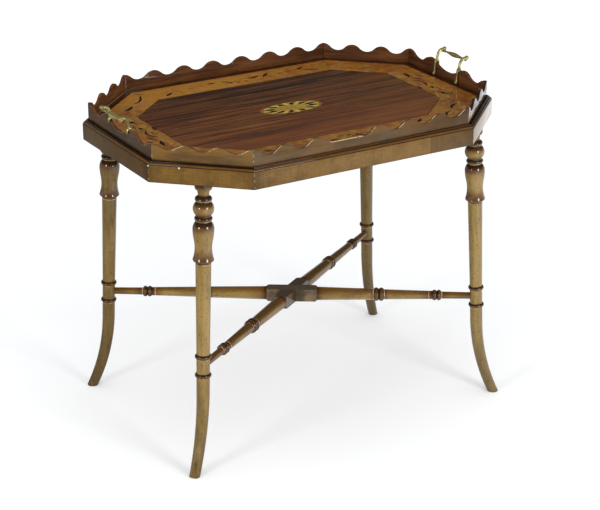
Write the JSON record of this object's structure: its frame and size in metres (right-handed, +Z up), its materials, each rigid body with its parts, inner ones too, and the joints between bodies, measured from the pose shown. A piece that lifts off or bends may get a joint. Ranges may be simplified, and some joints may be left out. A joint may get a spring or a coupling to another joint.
{
  "type": "tray top tea table",
  "caption": "Octagonal tea table: a lift-off tray with a scalloped gallery, inlaid floor and brass handles, on a stand with turned, splayed legs and a crossed stretcher.",
  "frame": {"origin": "on the floor under the middle of the table, midway between its four feet", "axes": "+X to the right along the long side, towards one handle; +Y to the back; +Z up"},
  "size_m": [0.729, 0.508, 0.6169],
  "materials": {
    "stand_wood": "polished, golden brown with darker quirks",
    "gallery_wood": "polished, red-brown",
    "secondary_wood": "plain, unpolished",
    "mahogany": "glossy varnish over straight-grained dark veneer",
    "dark_crossbanding": "glossy varnish over dark veneer",
    "satinwood": "glossy varnish over satinwood with inlaid foliage",
    "stringing": "glossy varnish over thin dark lines",
    "patera_satinwood": "glossy varnish over a shaded oval patera",
    "brass": "polished, pale and lightly worn"
  },
  "bodies": {
    "stand": {"apron_front": "stand_wood", "apron_back": "stand_wood", "apron_left": "stand_wood", "apron_right": "stand_wood", "corner_block_front_left": "stand_wood", "corner_block_front_right": "stand_wood", "corner_block_back_right": "stand_wood", "corner_block_back_left": "stand_wood", "rim_front": "stand_wood", "rim_back": "stand_wood", "rim_left": "stand_wood", "rim_right": "stand_wood", "rim_front_left": "stand_wood", "rim_front_right": "stand_wood", "rim_back_right": "stand_wood", "rim_back_left": "stand_wood", "bearer_left": "secondary_wood", "bearer_right": "secondary_wood", "leg_front_left": "stand_wood", "leg_front_right": "stand_wood", "leg_back_right": "stand_wood", "leg_back_left": "stand_wood", "stretcher_rail_a": "stand_wood", "stretcher_rail_b": "stand_wood"},
    "tray": {"tray_board": "secondary_wood", "crossband": "dark_crossbanding", "outer_stringing": "stringing", "satinwood_band": "satinwood", "inner_stringing": "stringing", "field_veneer": "mahogany", "patera_border": "dark_crossbanding", "patera": "patera_satinwood", "gallery_front": "gallery_wood", "gallery_back": "gallery_wood", "gallery_left": "gallery_wood", "gallery_right": "gallery_wood", "gallery_front_left": "gallery_wood", "gallery_front_right": "gallery_wood", "gallery_back_right": "gallery_wood", "gallery_back_left": "gallery_wood", "handle_post_left_front": "brass", "handle_post_left_back": "brass", "handle_grip_left": "brass", "handle_post_right_front": "brass", "handle_post_right_back": "brass", "handle_grip_right": "brass", "handle_pins": "brass"}
  },
  "joints": [
    {"name": "tray_lift", "type": "slide", "parent": "stand", "child": "tray", "axis": [0, 0, 1], "range_m": [0, 0.15]}
  ]
}
